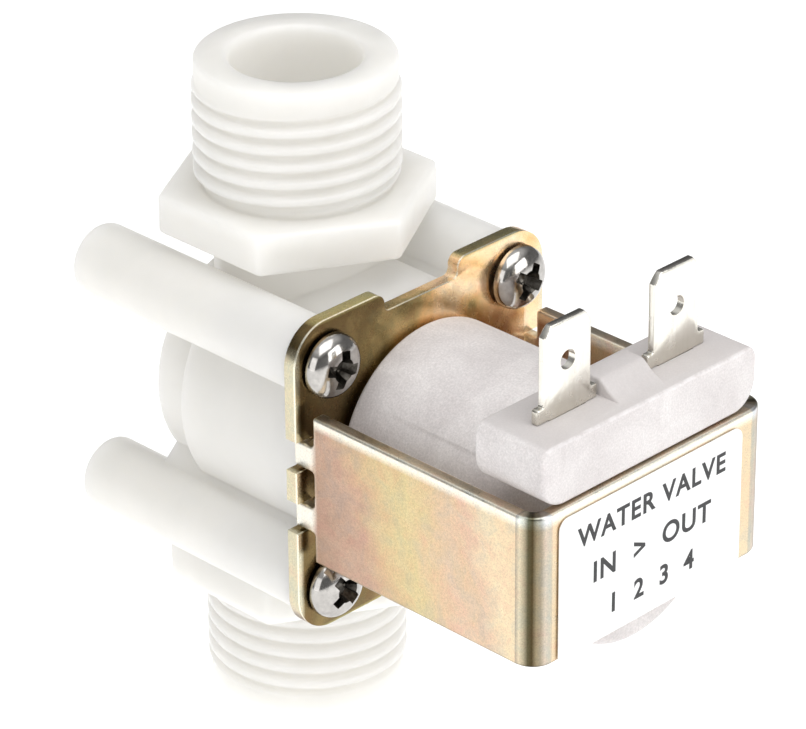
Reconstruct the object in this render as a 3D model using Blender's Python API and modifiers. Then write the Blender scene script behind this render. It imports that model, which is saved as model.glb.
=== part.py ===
"""Plastic-body solenoid water valve, two male G1/2 ports, held by its pipe thread.

Metres, +Z up. The pipe axis is Z, the solenoid axis is Y and the two cross at
the origin. The solenoid points along -Y, so the label faces -Y. Rest pose is
the valve with no current: armature forward against the pilot seat, diaphragm
on the main seat.
"""

import math

import bmesh
import bpy
from mathutils import Vector

MM = 0.001

# ---------------------------------------------------------------- dimensions
# pipe ends
THREAD_OD = 20.8 * MM          # moulded G1/2 crest, standard maximum 20.955
THREAD_CORE = 18.7 * MM
THREAD_PITCH = 1.814 * MM      # 14 threads per inch
PORT_END = 35.3 * MM           # pipe axis, origin to each port end
PORT_BORE = 13.3 * MM
LEAD_OD = 20.2 * MM             # plain lead at the mouth of each thread
LEAD_LENGTH = 2.6 * MM
HEX_AF = 24.8 * MM             # wrench flange, across flats
HEX_OUT = 21.85 * MM           # outer face of the wrench flange
HEX_IN = 17.6 * MM
NECK_OD = 17.2 * MM
# diaphragm housing
BODY_FRONT = -15.64 * MM
DRUM_OD = 28.4 * MM
DRUM_BACK = 3.2 * MM
REAR_OD = 25.2 * MM
REAR_BACK = 8.5 * MM
POCKET_OD = 24.0 * MM          # holds the tube flange and the diaphragm bead
LEDGE_Y = -9.9 * MM
RING_OD = 20.0 * MM            # annular inlet chamber
RING_BACK = -8.1 * MM
SEAT_OD = 12.0 * MM
SEAT_BORE = 9.2 * MM
# corner posts, which take the screws and run on as pegs
POST_X = 13.0 * MM
POST_Z = 12.25 * MM
POST_OD = 7.7 * MM
POST_BACK = 15.5 * MM
WEB_T = 4.8 * MM
SCREW_HOLE = 3.7 * MM
SCREW_HOLE_BACK = -4.0 * MM
# bracket
PLATE_T = 1.5 * MM
PLATE_FRONT = -17.14 * MM
PLATE_HX = 17.25 * MM
PLATE_HZ = 16.85 * MM
PLATE_CORNER = 4.2 * MM
RECESS_HX = 5.15 * MM
RECESS_Z = 14.75 * MM
TUBE_HOLE = 11.0 * MM
YOKE_T = 1.5 * MM
YOKE_HX = 16.42 * MM
YOKE_HZ = 8.05 * MM
YOKE_FRONT = -47.7 * MM
YOKE_REAR = -18.45 * MM
YOKE_BEND = 2.44 * MM
TAB_IN = 1.98 * MM
TAB_OUT = 4.78 * MM
TAB_END = -15.86 * MM
NOTCH_GAP = 0.3 * MM
# coil
COIL_OD = 23.9 * MM
COIL_REAR = -17.5 * MM
COIL_FRONT = -45.9 * MM
SHELL_BORE = 21.4 * MM
BLOCK_HX = 14.9 * MM
BLOCK_TOP = 14.7 * MM
BLOCK_BOTTOM = 8.2 * MM
BLOCK_FRONT = -47.3 * MM
BLOCK_REAR = -38.5 * MM
BARRIER_TOP = 16.4 * MM
# terminals, 6.3 x 0.8 blades
BLADE_W = 6.3 * MM
BLADE_T = 0.8 * MM
BLADE_X = 7.55 * MM
BLADE_FRONT = -43.44 * MM
BLADE_TOP = 24.5 * MM
BLADE_SHOULDER_W = 8.1 * MM
BLADE_SHOULDER_TOP = 16.25 * MM
BLADE_SHOULDER_LOW = 14.95 * MM
BLADE_TAIL_W = 5.0 * MM
BLADE_TAIL_LOW = 11.6 * MM
BLADE_HOLE_Z = 20.2 * MM
BLADE_HOLE = 2.0 * MM
# screws
HEAD_OD = 6.7 * MM
HEAD_H = 2.2 * MM
SHANK_OD = 3.1 * MM
SHANK_END = -5.0 * MM
# guide tube and moving parts
TUBE_OD = 10.4 * MM
TUBE_ID = 8.6 * MM
TUBE_FRONT = -45.3 * MM
TUBE_FLOOR = -44.2 * MM
FLANGE_OD = 23.4 * MM
FLANGE_FRONT = -15.3 * MM
ARM_OD = 8.0 * MM
ARM_FRONT = -40.9 * MM
ARM_REAR = -14.2 * MM
STROKE = 3.0 * MM
LIFT = 1.5 * MM
LABEL_X0 = -13.3 * MM
LABEL_X1 = 12.4 * MM
LABEL_Z0 = -8.0 * MM
LABEL_Z1 = 7.1 * MM

# ---------------------------------------------------------------- clear scene
for old in list(bpy.data.objects):
    bpy.data.objects.remove(old, do_unlink=True)

SCENE = bpy.context.scene.collection


# ---------------------------------------------------------------- materials
def material(name, colour, metallic=0.0, roughness=0.5, transmission=0.0):
    mat = bpy.data.materials.new(name)
    mat.use_nodes = True
    shader = mat.node_tree.nodes["Principled BSDF"]
    shader.inputs["Base Color"].default_value = (*colour, 1.0)
    shader.inputs["Metallic"].default_value = metallic
    shader.inputs["Roughness"].default_value = roughness
    shader.inputs["Transmission Weight"].default_value = transmission
    mat.diffuse_color = (*colour, 1.0)
    return mat


PP = material("natural_polypropylene", (0.83, 0.83, 0.80), 0.0, 0.35, 0.25)
ZINC = material("yellow_zinc_steel", (0.72, 0.60, 0.38), 0.9, 0.3)
PBT = material("grey_white_pbt", (0.67, 0.62, 0.60), 0.0, 0.55)
TIN = material("tinned_brass", (0.82, 0.80, 0.74), 0.9, 0.3)
NICKEL = material("nickel_steel", (0.75, 0.75, 0.76), 1.0, 0.15)
RUBBER = material("black_epdm", (0.03, 0.03, 0.03), 0.0, 0.7)
IRON = material("magnetic_stainless", (0.55, 0.55, 0.56), 1.0, 0.3)
NYLON = material("white_nylon", (0.85, 0.85, 0.82), 0.0, 0.4)
COPPER = material("enamelled_copper", (0.65, 0.25, 0.10), 0.8, 0.3)
TAPE = material("yellow_tape", (0.80, 0.60, 0.10), 0.0, 0.5)
PAPER = material("white_label", (0.9, 0.9, 0.9), 0.0, 0.3)


# ---------------------------------------------------------------- helpers
def finish(bm, name, mat=None):
    bmesh.ops.remove_doubles(bm, verts=bm.verts, dist=1e-7)
    bmesh.ops.dissolve_degenerate(bm, dist=1e-8, edges=bm.edges)
    bmesh.ops.recalc_face_normals(bm, faces=bm.faces)
    mesh = bpy.data.meshes.new(name)
    bm.to_mesh(mesh)
    bm.free()
    obj = bpy.data.objects.new(name, mesh)
    SCENE.objects.link(obj)
    if mat:
        mesh.materials.append(mat)
    return obj


def lathe(name, profile, axis="Y", centre=(0, 0, 0), steps=48, mat=None):
    """Turns a closed profile of (radius, position along the axis) about the axis."""
    bm = bmesh.new()
    c = Vector(centre)
    verts = []
    for r, t in profile:
        verts.append(bm.verts.new(c + (Vector((r, t, 0)) if axis == "Y" else Vector((r, 0, t)))))
    edges = [bm.edges.new((verts[i], verts[(i + 1) % len(verts)])) for i in range(len(verts))]
    direction = Vector((0, 1, 0)) if axis == "Y" else Vector((0, 0, 1))
    bmesh.ops.spin(bm, geom=verts + edges, cent=c, axis=direction, dvec=(0, 0, 0),
                   angle=2 * math.pi, steps=steps, use_merge=True, use_normal_flip=False)
    return finish(bm, name, mat)


def prism(name, outline, axis, low, high, mat=None):
    """Extrudes a closed outline. axis Y: outline in (x, z); Z: (x, y); X: (y, z)."""
    place = {"Y": lambda a, b, t: (a, t, b), "Z": lambda a, b, t: (a, b, t), "X": lambda a, b, t: (t, a, b)}[axis]
    bm = bmesh.new()
    verts = [bm.verts.new(place(a, b, low)) for a, b in outline]
    face = bm.faces.new(verts)
    made = bmesh.ops.extrude_face_region(bm, geom=[face])
    shift = Vector(place(0, 0, high - low))
    bmesh.ops.translate(bm, vec=shift, verts=[g for g in made["geom"] if isinstance(g, bmesh.types.BMVert)])
    return finish(bm, name, mat)


def box(name, x0, x1, y0, y1, z0, z1, mat=None):
    return prism(name, [(x0, y0), (x1, y0), (x1, y1), (x0, y1)], "Z", z0, z1, mat)


def cyl(name, radius, low, high, axis="Y", centre=(0, 0, 0), steps=32, chamfer=0.0, mat=None):
    c = chamfer
    if c:
        prof = [(0, low), (radius - c, low), (radius, low + c), (radius, high - c), (radius - c, high), (0, high)]
    else:
        prof = [(0, low), (radius, low), (radius, high), (0, high)]
    return lathe(name, prof, axis, centre, steps, mat)


def bake(obj):
    graph = bpy.context.evaluated_depsgraph_get()
    bpy.context.view_layer.update()
    graph.update()
    mesh = bpy.data.meshes.new_from_object(obj.evaluated_get(graph))
    obj.modifiers.clear()
    old = obj.data
    obj.data = mesh
    mesh.name = obj.name
    bpy.data.meshes.remove(old)
    return obj


def combine(obj, others, kind):
    for other in others:
        mod = obj.modifiers.new(kind.lower(), "BOOLEAN")
        mod.operation = kind
        mod.solver = "EXACT"
        mod.object = other
    bake(obj)
    for other in others:
        bpy.data.objects.remove(other, do_unlink=True)
    return obj


def join(obj, *others):
    return combine(obj, others, "UNION")


def cut(obj, *others):
    return combine(obj, others, "DIFFERENCE")


def round_edges(obj, width, segments=2, angle=35):
    mod = obj.modifiers.new("round", "BEVEL")
    mod.width = width
    mod.segments = segments
    mod.limit_method = "ANGLE"
    mod.angle_limit = math.radians(angle)
    mod.use_clamp_overlap = True
    return bake(obj)


def arc(cx, cy, r, a0, a1, n):
    return [(cx + r * math.cos(math.radians(a0 + (a1 - a0) * i / n)),
             cy + r * math.sin(math.radians(a0 + (a1 - a0) * i / n))) for i in range(n + 1)]


# ---------------------------------------------------------------- valve body
def port_profile(sign):
    """Threaded end, as rings, with the wrench flange and neck made apart."""
    core, crest = THREAD_CORE / 2, THREAD_OD / 2
    start = HEX_IN + 1.3 * MM
    outer = [(0, sign * start), (core, sign * start), (core, sign * (HEX_OUT + 0.5 * MM))]
    z = HEX_OUT + 0.7 * MM
    while z + THREAD_PITCH < PORT_END - LEAD_LENGTH + 0.4 * MM:
        outer += [(core, sign * z), (crest, sign * (z + 0.38 * THREAD_PITCH)),
                  (crest, sign * (z + 0.62 * THREAD_PITCH))]
        z += THREAD_PITCH
    lead = LEAD_OD / 2
    outer += [(core, sign * z), (lead, sign * (z + 0.5 * MM)), (lead, sign * (PORT_END - 0.3 * MM)),
              (lead - 0.3 * MM, sign * PORT_END), (0, sign * PORT_END)]
    return outer


def make_body():
    body = lathe("valve_body", [(0, BODY_FRONT - 1 * MM), (DRUM_OD / 2, BODY_FRONT - 1 * MM), (DRUM_OD / 2, DRUM_BACK - 0.4 * MM),
                                (DRUM_OD / 2 - 0.4 * MM, DRUM_BACK), (REAR_OD / 2, DRUM_BACK),
                                (REAR_OD / 2, REAR_BACK - 0.6 * MM), (REAR_OD / 2 - 0.6 * MM, REAR_BACK),
                                (0, REAR_BACK)], "Y", steps=56, mat=PP)
    adds = []
    for sign in (1, -1):
        adds.append(lathe("port", port_profile(sign), "Z", steps=40))
        adds.append(cyl("neck", NECK_OD / 2, min(sign * 8 * MM, sign * 20 * MM), max(sign * 8 * MM, sign * 20 * MM),
                        "Z", steps=40))
        r = HEX_AF / math.sqrt(3)
        flange = prism("hex", [(r * math.sin(math.radians(60 * i)), r * math.cos(math.radians(60 * i)))
                               for i in range(6)], "Z", *sorted((sign * HEX_IN, sign * HEX_OUT)))
        adds.append(round_edges(flange, 0.35 * MM, 1, 40))
    for sx in (1, -1):
        for sz in (1, -1):
            front = BODY_FRONT - (1.5 + 0.1 * sx + 0.04 * sz) * MM
            adds.append(lathe("post", [(0, front), (POST_OD / 2, front), (POST_OD / 2, POST_BACK - 0.5 * MM),
                                       (POST_OD / 2 - 0.5 * MM, POST_BACK), (0, POST_BACK)],
                              "Y", (sx * POST_X, 0, sz * POST_Z), 28))
    span = math.hypot(POST_X, POST_Z)
    for sign in (1, -1):
        dx, dz = POST_X / span, sign * POST_Z / span
        nx, nz = -dz * WEB_T / 2, dx * WEB_T / 2
        reach = span
        adds.append(prism("web", [(-dx * reach + nx, -dz * reach + nz), (dx * reach + nx, dz * reach + nz),
                                  (dx * reach - nx, dz * reach - nz), (-dx * reach - nx, -dz * reach - nz)],
                          "Y", BODY_FRONT - (2 + 0.2 * sign) * MM, REAR_BACK - (0.9 + 0.05 * sign) * MM))
    join(body, *adds)
    cut(body, box("trim", -30 * MM, 30 * MM, BODY_FRONT - 5 * MM, BODY_FRONT, -25 * MM, 25 * MM))
    # diaphragm pocket, annular chamber and seat
    cuts = [
        cyl("pocket", POCKET_OD / 2, BODY_FRONT - 1 * MM, LEDGE_Y, steps=48),
        lathe("ring", [(SEAT_OD / 2, LEDGE_Y - 1 * MM), (RING_OD / 2, LEDGE_Y - 1 * MM), (RING_OD / 2, RING_BACK),
                       (SEAT_OD / 2, RING_BACK)], "Y", steps=40),
        cyl("seat_bore", SEAT_BORE / 2, LEDGE_Y - 2 * MM, 0.0, steps=32),
        cyl("outlet", PORT_BORE / 2, -PORT_END - 1 * MM, 2.2 * MM, "Z", steps=36),
        cyl("inlet", PORT_BORE / 2, 7.4 * MM, PORT_END + 1 * MM, "Z", steps=36),
        box("inlet_way", -4.4 * MM, 4.4 * MM, RING_BACK - 0.6 * MM, -2.5 * MM, 6.5 * MM, 9.7 * MM),
    ]
    for sx in (1, -1):
        for sz in (1, -1):
            cuts.append(cyl("hole", SCREW_HOLE / 2, BODY_FRONT - 1 * MM, SCREW_HOLE_BACK, "Y",
                            (sx * POST_X, 0, sz * POST_Z), 20))
    cut(body, *cuts)
    return body


make_body()

# ---------------------------------------------------------------- diaphragm
lathe("diaphragm", [
    (3.3 * MM, -11.7 * MM), (6.9 * MM, -11.7 * MM), (7.4 * MM, -11.2 * MM), (9.7 * MM, -11.2 * MM),
    (10.1 * MM, -12.6 * MM), (11.6 * MM, -12.6 * MM), (11.6 * MM, -10.2 * MM), (10.3 * MM, -10.2 * MM),
    (10.0 * MM, -10.5 * MM), (7.4 * MM, -10.5 * MM), (6.6 * MM, -10.2 * MM), (3.3 * MM, -10.2 * MM),
], steps=40, mat=RUBBER)
support = lathe("diaphragm_support", [
    (0.6 * MM, -13.5 * MM), (1.5 * MM, -13.5 * MM), (1.9 * MM, -12.7 * MM), (6.4 * MM, -12.7 * MM),
    (6.4 * MM, -12.0 * MM), (3.0 * MM, -12.0 * MM), (3.0 * MM, -7.0 * MM), (0.6 * MM, -7.0 * MM),
], steps=32, mat=NYLON)
# bleed hole through the rim of the support
cut(support, cyl("bleed", 0.35 * MM, -14 * MM, -11 * MM, "Y", (4.9 * MM, 0, 0), 10))

# ---------------------------------------------------------------- guide tube
lathe("guide_tube", [
    (0, TUBE_FRONT), (TUBE_OD / 2 - 0.6 * MM, TUBE_FRONT), (TUBE_OD / 2, TUBE_FRONT + 0.6 * MM),
    (TUBE_OD / 2, FLANGE_FRONT), (FLANGE_OD / 2, FLANGE_FRONT), (FLANGE_OD / 2, -13.0 * MM),
    (9.4 * MM, -13.0 * MM), (9.4 * MM, -14.5 * MM), (TUBE_ID / 2, -14.5 * MM), (TUBE_ID / 2, TUBE_FLOOR),
    (0, TUBE_FLOOR),
], steps=40, mat=NYLON)

# ---------------------------------------------------------------- armature
lathe("armature", [
    (0, -32.6 * MM), (2.7 * MM, -32.6 * MM), (2.7 * MM, ARM_FRONT), (ARM_OD / 2 - 0.4 * MM, ARM_FRONT),
    (ARM_OD / 2, ARM_FRONT + 0.4 * MM), (ARM_OD / 2, ARM_REAR - 0.4 * MM), (ARM_OD / 2 - 0.4 * MM, ARM_REAR),
    (2.4 * MM, ARM_REAR), (2.4 * MM, -17.6 * MM), (0, -17.6 * MM),
], steps=32, mat=IRON)
lathe("armature_seal", [(0, -17.3 * MM), (2.1 * MM, -17.3 * MM), (2.1 * MM, -13.8 * MM), (0, -13.8 * MM)],
      steps=24, mat=RUBBER)


def helix(name, radius, wire, y0, y1, turns, per_turn, sides, mat):
    """One round wire, closed at both ends, as a bevelled curve."""
    curve = bpy.data.curves.new(name, "CURVE")
    curve.dimensions = "3D"
    curve.bevel_depth = wire / 2
    curve.bevel_resolution = sides
    curve.use_fill_caps = True
    n = int(turns * per_turn)
    spline = curve.splines.new("POLY")
    spline.points.add(n)
    for i in range(n + 1):
        t = i / n
        # first and last turns lie flatter, as on a closed-end spring
        s = min(max((t * turns - 0.9) / (turns - 1.8), 0.0), 1.0)
        flat = 1.12 * wire
        y = y0 + flat * min(t * turns, 0.9) + (y1 - y0 - 1.8 * flat) * s + flat * max(t * turns - turns + 0.9, 0.0)
        a = 2 * math.pi * turns * t
        spline.points[i].co = (radius * math.cos(a), y, radius * math.sin(a), 1)
    obj = bpy.data.objects.new(name, curve)
    SCENE.objects.link(obj)
    mesh_obj = bpy.data.objects.new(name + "_mesh", bpy.data.meshes.new_from_object(obj))
    SCENE.objects.link(mesh_obj)
    bpy.data.objects.remove(obj, do_unlink=True)
    mesh_obj.name = name
    bm = bmesh.new()
    bm.from_mesh(mesh_obj.data)
    bmesh.ops.remove_doubles(bm, verts=bm.verts, dist=1e-7)
    bmesh.ops.recalc_face_normals(bm, faces=bm.faces)
    bm.to_mesh(mesh_obj.data)
    bm.free()
    mesh_obj.data.materials.clear()
    mesh_obj.data.materials.append(mat)
    return mesh_obj


helix("return_spring", 2.1 * MM, 0.45 * MM, -43.65 * MM, -33.15 * MM, 7.0, 12, 1, NICKEL)

# ---------------------------------------------------------------- coil
lathe("rear_flux_sleeve", [(5.5 * MM, -30.5 * MM), (6.3 * MM, -30.5 * MM), (6.3 * MM, -17.6 * MM),
                           (5.5 * MM, -17.6 * MM)], steps=32, mat=IRON)
lathe("front_flux_sleeve", [(5.5 * MM, -45.8 * MM), (6.3 * MM, -45.8 * MM), (6.3 * MM, -33.5 * MM),
                            (5.5 * MM, -33.5 * MM)], steps=32, mat=IRON)
lathe("coil_bobbin", [
    (6.6 * MM, -45.7 * MM), (7.4 * MM, -45.7 * MM), (7.4 * MM, -45.2 * MM), (10.4 * MM, -45.2 * MM),
    (10.4 * MM, -44.2 * MM), (7.4 * MM, -44.2 * MM), (7.4 * MM, -19.2 * MM), (10.4 * MM, -19.2 * MM),
    (10.4 * MM, -18.2 * MM), (7.4 * MM, -18.2 * MM), (7.4 * MM, -17.7 * MM), (6.6 * MM, -17.7 * MM),
], steps=32, mat=NYLON)
lathe("coil_winding", [(7.7 * MM, -43.9 * MM), (9.6 * MM, -43.9 * MM), (9.6 * MM, -19.5 * MM),
                       (7.7 * MM, -19.5 * MM)], steps=32, mat=COPPER)
lathe("winding_tape", [(9.9 * MM, -43.7 * MM), (10.15 * MM, -43.7 * MM), (10.15 * MM, -19.7 * MM),
                       (9.9 * MM, -19.7 * MM)], steps=32, mat=TAPE)


def make_overmould():
    shell = cyl("coil_overmould", COIL_OD / 2, COIL_FRONT, COIL_REAR, steps=48, chamfer=0.5 * MM, mat=PBT)
    h = BLOCK_HX
    low, top = 3.0 * MM, 1.3 * MM
    outline = (arc(h - low, BLOCK_BOTTOM + low, low, -90, 0, 5)
               + arc(h - top, BLOCK_TOP - top, top, 0, 90, 4)
               + arc(-h + top, BLOCK_TOP - top, top, 90, 180, 4)
               + arc(-h + low, BLOCK_BOTTOM + low, low, 180, 270, 5))
    block = prism("block", outline, "Y", BLOCK_FRONT, BLOCK_REAR)
    block = round_edges(block, 0.8 * MM, 2, 60)
    neck = box("neck", -9.5 * MM, 9.5 * MM, COIL_FRONT + 0.1 * MM, BLOCK_REAR + 0.6 * MM, 3.0 * MM, BLOCK_TOP - 2 * MM)
    wall = prism("barrier", [(-40.9 * MM, 13.9 * MM), (-40.9 * MM, BARRIER_TOP), (-43.0 * MM, BARRIER_TOP),
                             (-43.6 * MM, 16.2 * MM), (-44.4 * MM, 15.5 * MM), (-45.6 * MM, 14.9 * MM),
                             (-46.4 * MM, 14.6 * MM), (-46.4 * MM, 13.9 * MM)], "X", -3.1 * MM, 3.1 * MM)
    join(shell, neck, block, wall)
    cuts = [cyl("cavity", SHELL_BORE / 2, -45.5 * MM, -17.9 * MM, steps=40),
            cyl("through", 7.7 * MM, COIL_FRONT - 1 * MM, COIL_REAR + 1 * MM, steps=32)]
    for s in (1, -1):
        x = s * BLADE_X
        w = BLADE_TAIL_W / 2 + 0.3 * MM
        cuts.append(box("slot", x - w, x + w, BLADE_FRONT - 0.3 * MM, BLADE_FRONT + BLADE_T + 0.3 * MM,
                        BLADE_TAIL_LOW - 0.4 * MM, BLOCK_TOP + 3 * MM))
        cuts.append(cyl("wire_way", 0.62 * MM, 6.6 * MM, BLADE_TAIL_LOW, "Z", (x, BLADE_FRONT + BLADE_T / 2, 0), 12))
    cut(shell, *cuts)
    return shell


make_overmould()

# ---------------------------------------------------------------- terminals
for side, s in (("left", -1), ("right", 1)):
    x = s * BLADE_X
    b, sh, tl, c = BLADE_W / 2, BLADE_SHOULDER_W / 2, BLADE_TAIL_W / 2, 1.1 * MM
    outline = [(x - tl, BLADE_TAIL_LOW), (x + tl, BLADE_TAIL_LOW), (x + tl, BLADE_SHOULDER_LOW),
               (x + sh, BLADE_SHOULDER_LOW), (x + sh, BLADE_SHOULDER_TOP), (x + b, BLADE_SHOULDER_TOP),
               (x + b, BLADE_TOP - c), (x + b - c, BLADE_TOP), (x - b + c, BLADE_TOP), (x - b, BLADE_TOP - c),
               (x - b, BLADE_SHOULDER_TOP), (x - sh, BLADE_SHOULDER_TOP), (x - sh, BLADE_SHOULDER_LOW),
               (x - tl, BLADE_SHOULDER_LOW)]
    blade = prism("terminal_" + side, outline, "Y", BLADE_FRONT, BLADE_FRONT + BLADE_T, TIN)
    cut(blade, cyl("eye", BLADE_HOLE / 2, BLADE_FRONT - 1 * MM, BLADE_FRONT + 2 * MM, "Y", (x, 0, BLADE_HOLE_Z), 20))
    cyl("coil_lead_" + side, 0.3 * MM, 7.3 * MM, BLADE_TAIL_LOW - 0.3 * MM, "Z",
        (x, BLADE_FRONT + BLADE_T / 2, 0), 10, mat=COPPER)


# ---------------------------------------------------------------- bracket
def make_base_plate():
    hx, hz, r = PLATE_HX, PLATE_HZ, PLATE_CORNER
    q = RECESS_HX
    e, f = 1.1 * MM, 0.7 * MM
    top = (arc(hx - r, hz - r, r, 0, 90, 6)
           + arc(q + e, hz - e, e, 90, 180, 3)
           + arc(q - f, RECESS_Z + f, f, 0, -90, 2)
           + arc(-q + f, RECESS_Z + f, f, -90, -180, 2)
           + arc(-q - e, hz - e, e, 0, 90, 3)
           + arc(-hx + r, hz - r, r, 90, 180, 6))
    bottom = [(-a, -b) for a, b in top]
    plate = prism("base_plate", top + bottom, "Y", PLATE_FRONT, PLATE_FRONT + PLATE_T, ZINC)
    plate = round_edges(plate, 0.22 * MM, 1, 60)
    cuts = [cyl("hole", TUBE_HOLE / 2, PLATE_FRONT - 1 * MM, BODY_FRONT + 1 * MM, steps=36)]
    g = NOTCH_GAP
    inner = YOKE_HX - YOKE_T - g
    for sx in (1, -1):
        for sz in (1, -1):
            x0, x1 = sorted((sx * inner, sx * (hx + 2 * MM)))
            z0, z1 = sorted((sz * (TAB_IN - g), sz * (TAB_OUT + g)))
            cuts.append(box("notch", x0, x1, PLATE_FRONT - 1 * MM, BODY_FRONT + 1 * MM, z0, z1))
            cuts.append(cyl("screw_hole", 1.95 * MM, PLATE_FRONT - 1 * MM, BODY_FRONT + 1 * MM, "Y",
                            (sx * POST_X, 0, sz * POST_Z), 20))
    cut(plate, *cuts)
    return plate


def make_yoke():
    hx, t, r = YOKE_HX, YOKE_T, YOKE_BEND
    outer = (arc(-hx + r, YOKE_FRONT + r, r, 180, 270, 6) + arc(hx - r, YOKE_FRONT + r, r, 270, 360, 6))
    ri = r - t
    inner = (arc(hx - r, YOKE_FRONT + r, ri, 360, 270, 4) + arc(-hx + r, YOKE_FRONT + r, ri, 270, 180, 4))
    outline = [(-hx, YOKE_REAR)] + outer + [(hx, YOKE_REAR), (hx - t, YOKE_REAR)] + inner + [(-hx + t, YOKE_REAR)]
    yoke = prism("yoke_frame", outline, "Z", -YOKE_HZ, YOKE_HZ, ZINC)
    adds = []
    for sx in (1, -1):
        for sz in (1, -1):
            x0, x1 = sorted((sx * (hx - t), sx * hx))
            z0, z1 = sorted((sz * TAB_IN, sz * TAB_OUT))
            adds.append(box("tab", x0, x1, YOKE_REAR - 0.5 * MM, TAB_END, z0, z1))
    join(yoke, *adds)
    return yoke


make_base_plate()
make_yoke()

# ---------------------------------------------------------------- screws
for side, sx in (("left", -1), ("right", 1)):
    for level, sz in (("upper", 1), ("lower", -1)):
        name = f"screw_{level}_{side}"
        under = PLATE_FRONT - 0.3 * MM
        r, h = HEAD_OD / 2, HEAD_H
        centre = (sx * POST_X, 0, sz * POST_Z)
        screw = lathe(name, [
            (0, under - h), (0.45 * r, under - h + 0.06 * MM), (0.75 * r, under - 0.82 * h), (0.93 * r, under - 0.55 * h),
            (r, under - 0.25 * h), (r, under), (SHANK_OD / 2, under), (SHANK_OD / 2, SHANK_END - 1.5 * MM),
            (0.3 * MM, SHANK_END), (0, SHANK_END)], "Y", centre, 24, NICKEL)
        top = under - h - 1 * MM
        deep = under - h + 1.3 * MM
        w, l = 0.55 * MM, 1.75 * MM
        cx, cz = centre[0], centre[2]
        cross = box("cross_a", cx - l, cx + l, top, deep, cz - w, cz + w)
        other = box("cross_b", cx - w, cx + w, top, deep, cz - l, cz + l)
        cut(screw, cross, other)

# ---------------------------------------------------------------- label
corner = 1.0 * MM
prism("label", arc(LABEL_X1 - corner, LABEL_Z1 - corner, corner, 0, 90, 3)
      + arc(LABEL_X0 + corner, LABEL_Z1 - corner, corner, 90, 180, 3)
      + [(LABEL_X0, LABEL_Z0), (LABEL_X1, LABEL_Z0)],
      "Y", YOKE_FRONT - 0.3 * MM, YOKE_FRONT - 0.1 * MM, PAPER)
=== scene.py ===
"""Looks for the solenoid water valve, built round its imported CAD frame."""

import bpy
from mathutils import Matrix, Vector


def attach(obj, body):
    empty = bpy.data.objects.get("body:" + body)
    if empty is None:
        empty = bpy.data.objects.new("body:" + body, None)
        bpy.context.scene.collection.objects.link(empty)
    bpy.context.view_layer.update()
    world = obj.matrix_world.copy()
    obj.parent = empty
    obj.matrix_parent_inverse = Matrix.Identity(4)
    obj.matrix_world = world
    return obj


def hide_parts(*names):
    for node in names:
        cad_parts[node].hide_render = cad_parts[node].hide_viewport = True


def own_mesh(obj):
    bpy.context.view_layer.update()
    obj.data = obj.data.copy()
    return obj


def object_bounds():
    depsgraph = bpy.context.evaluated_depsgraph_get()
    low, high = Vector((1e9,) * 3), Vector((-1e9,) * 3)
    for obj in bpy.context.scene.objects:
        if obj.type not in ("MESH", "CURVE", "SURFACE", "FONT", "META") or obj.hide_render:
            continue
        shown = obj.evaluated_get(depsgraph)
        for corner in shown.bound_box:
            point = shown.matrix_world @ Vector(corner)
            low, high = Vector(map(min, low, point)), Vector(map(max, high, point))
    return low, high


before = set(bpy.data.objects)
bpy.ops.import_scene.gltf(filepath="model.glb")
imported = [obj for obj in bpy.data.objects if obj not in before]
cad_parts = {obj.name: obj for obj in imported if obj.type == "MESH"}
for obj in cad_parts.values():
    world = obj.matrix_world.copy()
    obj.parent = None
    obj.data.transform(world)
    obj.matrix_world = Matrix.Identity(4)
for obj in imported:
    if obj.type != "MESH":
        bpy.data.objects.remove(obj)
CAD_BOX = [list(map(float, corner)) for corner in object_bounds()]

import math

import bmesh
import bpy
from mathutils import Matrix, Vector

MM = 0.001
SCENE = bpy.context.scene.collection
HOUSING = "housing"


# ------------------------------------------------------------------ modelling
def finish(bm, name):
    bmesh.ops.remove_doubles(bm, verts=bm.verts, dist=1e-7)
    bmesh.ops.dissolve_degenerate(bm, dist=1e-8, edges=bm.edges)
    bmesh.ops.recalc_face_normals(bm, faces=bm.faces)
    mesh = bpy.data.meshes.new(name)
    bm.to_mesh(mesh)
    bm.free()
    obj = bpy.data.objects.new(name, mesh)
    SCENE.objects.link(obj)
    return obj


def lathe(name, profile, axis="Y", centre=(0, 0, 0), steps=96):
    """Turns a closed profile of (radius, position) in mm about the axis."""
    bm = bmesh.new()
    c = Vector(centre) * MM
    verts = []
    for r, t in profile:
        p = Vector((r, t, 0)) if axis == "Y" else Vector((r, 0, t))
        verts.append(bm.verts.new(c + p * MM))
    edges = [bm.edges.new((verts[i], verts[(i + 1) % len(verts)])) for i in range(len(verts))]
    direction = Vector((0, 1, 0)) if axis == "Y" else Vector((0, 0, 1))
    bmesh.ops.spin(bm, geom=verts + edges, cent=c, axis=direction, dvec=(0, 0, 0),
                   angle=2 * math.pi, steps=steps, use_merge=True, use_normal_flip=False)
    return finish(bm, name)


def prism(name, outline, axis, low, high):
    """Extrudes a closed outline in mm. axis Y: (x, z); Z: (x, y); X: (y, z)."""
    place = {"Y": lambda a, b, t: (a, t, b), "Z": lambda a, b, t: (a, b, t), "X": lambda a, b, t: (t, a, b)}[axis]
    bm = bmesh.new()
    verts = [bm.verts.new(Vector(place(a, b, low)) * MM) for a, b in outline]
    face = bm.faces.new(verts)
    made = bmesh.ops.extrude_face_region(bm, geom=[face])
    bmesh.ops.translate(bm, vec=Vector(place(0, 0, high - low)) * MM,
                        verts=[g for g in made["geom"] if isinstance(g, bmesh.types.BMVert)])
    return finish(bm, name)


def box(name, x0, x1, y0, y1, z0, z1):
    return prism(name, [(x0, y0), (x1, y0), (x1, y1), (x0, y1)], "Z", z0, z1)


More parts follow.
